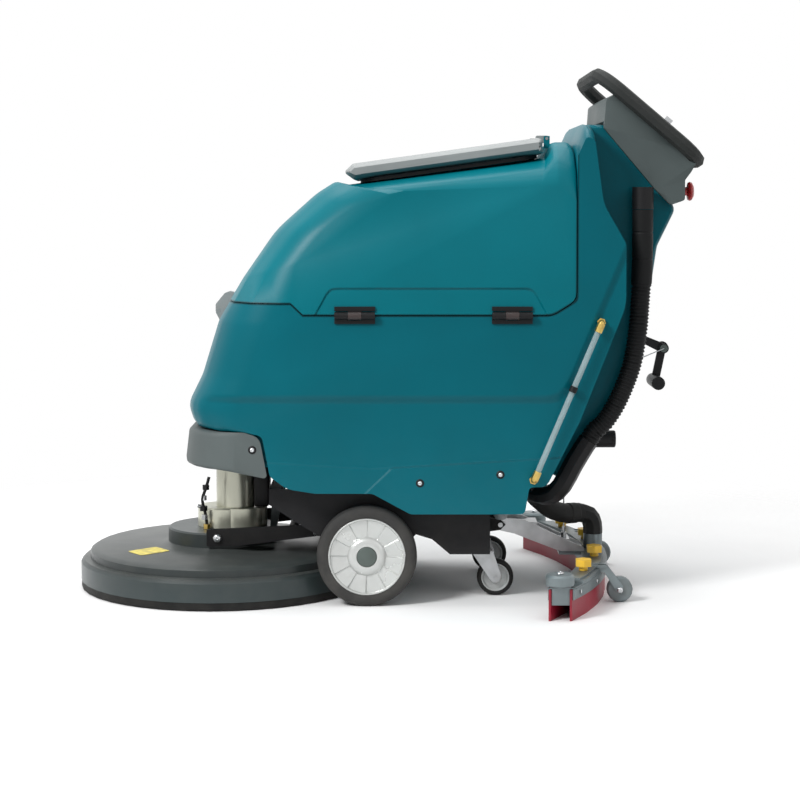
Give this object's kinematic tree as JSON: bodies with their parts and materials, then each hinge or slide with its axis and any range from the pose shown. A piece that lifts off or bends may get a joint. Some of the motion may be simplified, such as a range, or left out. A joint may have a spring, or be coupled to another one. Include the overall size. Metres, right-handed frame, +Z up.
{
  "type": "walk-behind floor scrubber",
  "caption": "Walk-behind floor scrubber: round brush deck on lift arms, hinged tanks, swivel casters, curved squeegee on a drawbar, looped handle and sloping console.",
  "frame": {"origin": "on the floor, midway along the machine's length and on its centre plane", "axes": "+X towards the operator (rear), +Y to the machine's right side as seen from the front, +Z up"},
  "size_m": [1.287, 0.78, 1.073],
  "materials": {
    "tank_teal": "rotationally moulded polyethylene, satin",
    "lid_grey": "moulded plastic, satin",
    "bumper_grey": "moulded plastic, fine grain",
    "console_grey": "moulded plastic, fine grain",
    "deck_grey": "cast aluminium, painted",
    "frame_black": "powder coated steel",
    "black_plastic": "moulded plastic",
    "rubber": "matt black rubber",
    "tyre": "solid grey-black tyre",
    "zinc": "bright zinc plated steel",
    "rim_silver": "silver plastic rim",
    "motor_silver": "bare steel can",
    "clear_tube": "clear tube with brass ends",
    "bowl_grey": "translucent grey filter bowl",
    "yellow_plastic": "yellow moulded plastic",
    "red_plastic": "red moulded plastic",
    "blade_red": "red polyurethane",
    "squeegee_grey": "cast aluminium, grey",
    "bristle": "nylon bristle ring",
    "battery_case": "battery case"
  },
  "bodies": {
    "chassis": {"chassis_frame": "frame_black", "solution_tank": "tank_teal", "tank_hinge_1_lower": "black_plastic", "tank_hinge_2_lower": "black_plastic", "latch_bracket": "lid_grey", "front_battery": "battery_case", "rear_battery": "battery_case", "vacuum_motor": "motor_silver", "front_bumper": "bumper_grey", "console_housing": "console_grey", "handle_loop": "frame_black", "control_panel": "black_plastic", "suction_hose": "rubber", "suction_inlet": "black_plastic", "fixed_pipe": "black_plastic", "level_tube": "clear_tube", "filter_bowl": "bowl_grey", "lever_bracket": "black_plastic", "lift_cable": "zinc"},
    "upper_tank": {"recovery_tank": "tank_teal", "tank_hinge_1_upper": "black_plastic", "tank_hinge_2_upper": "black_plastic"},
    "lid": {"recovery_lid": "lid_grey"},
    "latch": {"tank_latch": "lid_grey"},
    "left_wheel": {"left_tyre": "tyre", "left_rim": "rim_silver"},
    "right_wheel": {"right_tyre": "tyre", "right_rim": "rim_silver"},
    "left_fork": {"left_caster_fork": "zinc"},
    "right_fork": {"right_caster_fork": "zinc"},
    "left_caster": {"left_caster_wheel": "rubber"},
    "right_caster": {"right_caster_wheel": "rubber"},
    "lift_arm": {"deck_lift_arm": "frame_black"},
    "link": {"upper_link": "frame_black"},
    "deck": {"brush_deck": "deck_grey", "deck_skirt": "rubber", "brush_motor": "motor_silver", "motor_cover": "black_plastic"},
    "brush_disc": {"brush": "bristle"},
    "squeegee": {"squeegee_body": "squeegee_grey", "rear_blade": "blade_red", "front_blade": "blade_red", "squeegee_arm": "zinc", "squeegee_elbow": "rubber", "squeegee_hose": "rubber"},
    "left_support": {"left_support_wheel": "rubber"},
    "right_support": {"right_support_wheel": "rubber"},
    "left_roller": {"left_bumper_roller": "squeegee_grey"},
    "right_roller": {"right_bumper_roller": "squeegee_grey"},
    "left_inner": {"left_inner_knob": "yellow_plastic"},
    "right_inner": {"right_inner_knob": "yellow_plastic"},
    "left_outer": {"left_outer_knob": "yellow_plastic"},
    "right_outer": {"right_outer_knob": "yellow_plastic"},
    "lever": {"squeegee_lever": "black_plastic"},
    "stop_button": {"emergency_stop": "red_plastic"},
    "key": {"key_switch": "zinc"},
    "dial": {"water_dial": "black_plastic"},
    "brush_rocker": {"brush_switch": "red_plastic"},
    "suction_rocker": {"suction_switch": "red_plastic"},
    "cap": {"drain_cap": "black_plastic"}
  },
  "joints": [
    {"name": "upper_tank_tilt", "type": "hinge", "parent": "chassis", "child": "upper_tank", "pos_m": [0, -0.2685, 0.581], "axis": [1, 0, 0], "range_deg": [0, 80]},
    {"name": "lid_open", "type": "hinge", "parent": "upper_tank", "child": "lid", "pos_m": [0.327, 0, 0.9335], "axis": [0, 1, 0], "range_deg": [0, 80]},
    {"name": "latch_open", "type": "hinge", "parent": "chassis", "child": "latch", "pos_m": [-0.352, 0, 0.576], "axis": [0, -1, 0], "range_deg": [0, 75]},
    {"name": "left_wheel_spin", "type": "hinge", "parent": "chassis", "child": "left_wheel", "pos_m": [-0.0385, -0.231, 0.1], "axis": [0, 1, 0], "continuous": true},
    {"name": "right_wheel_spin", "type": "hinge", "parent": "chassis", "child": "right_wheel", "pos_m": [-0.0385, 0.231, 0.1], "axis": [0, 1, 0], "continuous": true},
    {"name": "left_caster_swivel", "type": "hinge", "parent": "chassis", "child": "left_fork", "pos_m": [0.196, -0.13, 0.09], "axis": [0, 0, 1], "continuous": true},
    {"name": "right_caster_swivel", "type": "hinge", "parent": "chassis", "child": "right_fork", "pos_m": [0.196, 0.13, 0.09], "axis": [0, 0, 1], "continuous": true},
    {"name": "left_caster_spin", "type": "hinge", "parent": "left_fork", "child": "left_caster", "pos_m": [0.2225, -0.13, 0.0375], "axis": [0, 1, 0], "continuous": true},
    {"name": "right_caster_spin", "type": "hinge", "parent": "right_fork", "child": "right_caster", "pos_m": [0.2225, 0.13, 0.0375], "axis": [0, 1, 0], "continuous": true},
    {"name": "deck_lift", "type": "hinge", "parent": "chassis", "child": "lift_arm", "pos_m": [-0.1435, 0, 0.13], "axis": [0, 1, 0], "range_deg": [0, 7]},
    {"name": "deck_level", "type": "hinge", "parent": "lift_arm", "child": "deck", "pos_m": [-0.3475, 0, 0.115], "axis": [0, 1, 0], "range_deg": [-7, 0]},
    {"name": "link_swing", "type": "hinge", "parent": "chassis", "child": "link", "pos_m": [-0.0275, 0, 0.186], "axis": [0, 1, 0], "range_deg": [0, 7]},
    {"name": "brush_spin", "type": "hinge", "parent": "deck", "child": "brush_disc", "pos_m": [-0.3465, 0, 0.04], "axis": [0, 0, 1], "continuous": true},
    {"name": "squeegee_lift", "type": "hinge", "parent": "chassis", "child": "squeegee", "pos_m": [0.238, 0, 0.128], "axis": [0, -1, 0], "range_deg": [0, 9], "deforming": ["squeegee_hose", "lift_cable"]},
    {"name": "lever_pull", "type": "hinge", "parent": "chassis", "child": "lever", "pos_m": [0.581, 0, 0.497], "axis": [0, -1, 0], "range_deg": [0, 63]},
    {"name": "left_support_spin", "type": "hinge", "parent": "squeegee", "child": "left_support", "pos_m": [0.46962, -0.2, 0.026], "axis": [0, 1, 0], "continuous": true},
    {"name": "left_roller_spin", "type": "hinge", "parent": "squeegee", "child": "left_roller", "pos_m": [0.33618, -0.362, 0.0763], "axis": [0, 0, 1], "continuous": true},
    {"name": "right_support_spin", "type": "hinge", "parent": "squeegee", "child": "right_support", "pos_m": [0.46962, 0.2, 0.026], "axis": [0, 1, 0], "continuous": true},
    {"name": "right_roller_spin", "type": "hinge", "parent": "squeegee", "child": "right_roller", "pos_m": [0.33618, 0.362, 0.0763], "axis": [0, 0, 1], "continuous": true},
    {"name": "left_inner_knob_turn", "type": "hinge", "parent": "squeegee", "child": "left_inner", "pos_m": [0.42853, -0.1, 0.085], "axis": [0, 0, 1], "continuous": true},
    {"name": "left_outer_knob_turn", "type": "hinge", "parent": "squeegee", "child": "left_outer", "pos_m": [0.39194, -0.25, 0.085], "axis": [0, 0, 1], "continuous": true},
    {"name": "right_inner_knob_turn", "type": "hinge", "parent": "squeegee", "child": "right_inner", "pos_m": [0.42853, 0.1, 0.085], "axis": [0, 0, 1], "continuous": true},
    {"name": "right_outer_knob_turn", "type": "hinge", "parent": "squeegee", "child": "right_outer", "pos_m": [0.39194, 0.25, 0.085], "axis": [0, 0, 1], "continuous": true},
    {"name": "stop_press", "type": "slide", "parent": "chassis", "child": "stop_button", "axis": [-1, 0, 0], "range_m": [0, 0.006]},
    {"name": "key_turn", "type": "hinge", "parent": "chassis", "child": "key", "pos_m": [0.55526, -0.1, 0.94678], "axis": [0.6435, 0, 0.7655], "range_deg": [0, 90]},
    {"name": "dial_turn", "type": "hinge", "parent": "chassis", "child": "dial", "pos_m": [0.55526, 0.1, 0.94678], "axis": [0.6435, 0, 0.7655], "range_deg": [0, 270]},
    {"name": "brush_rock", "type": "hinge", "parent": "chassis", "child": "brush_rocker", "pos_m": [0.55867, -0.03, 0.95084], "axis": [0, 1, 0], "range_deg": [-8, 8]},
    {"name": "suction_rock", "type": "hinge", "parent": "chassis", "child": "suction_rocker", "pos_m": [0.55867, 0.03, 0.95084], "axis": [0, 1, 0], "range_deg": [-8, 8]},
    {"name": "drain_cap_turn", "type": "hinge", "parent": "chassis", "child": "cap", "pos_m": [0.4365, -0.03, 0.308], "axis": [1, 0, 0], "range_deg": [0, 90]}
  ],
  "couplings": [
    {"joint": "deck_level", "follows": "deck_lift", "ratio": -1},
    {"joint": "link_swing", "follows": "deck_lift", "ratio": 1},
    {"joint": "lever_pull", "follows": "squeegee_lift", "ratio": 7}
  ]
}
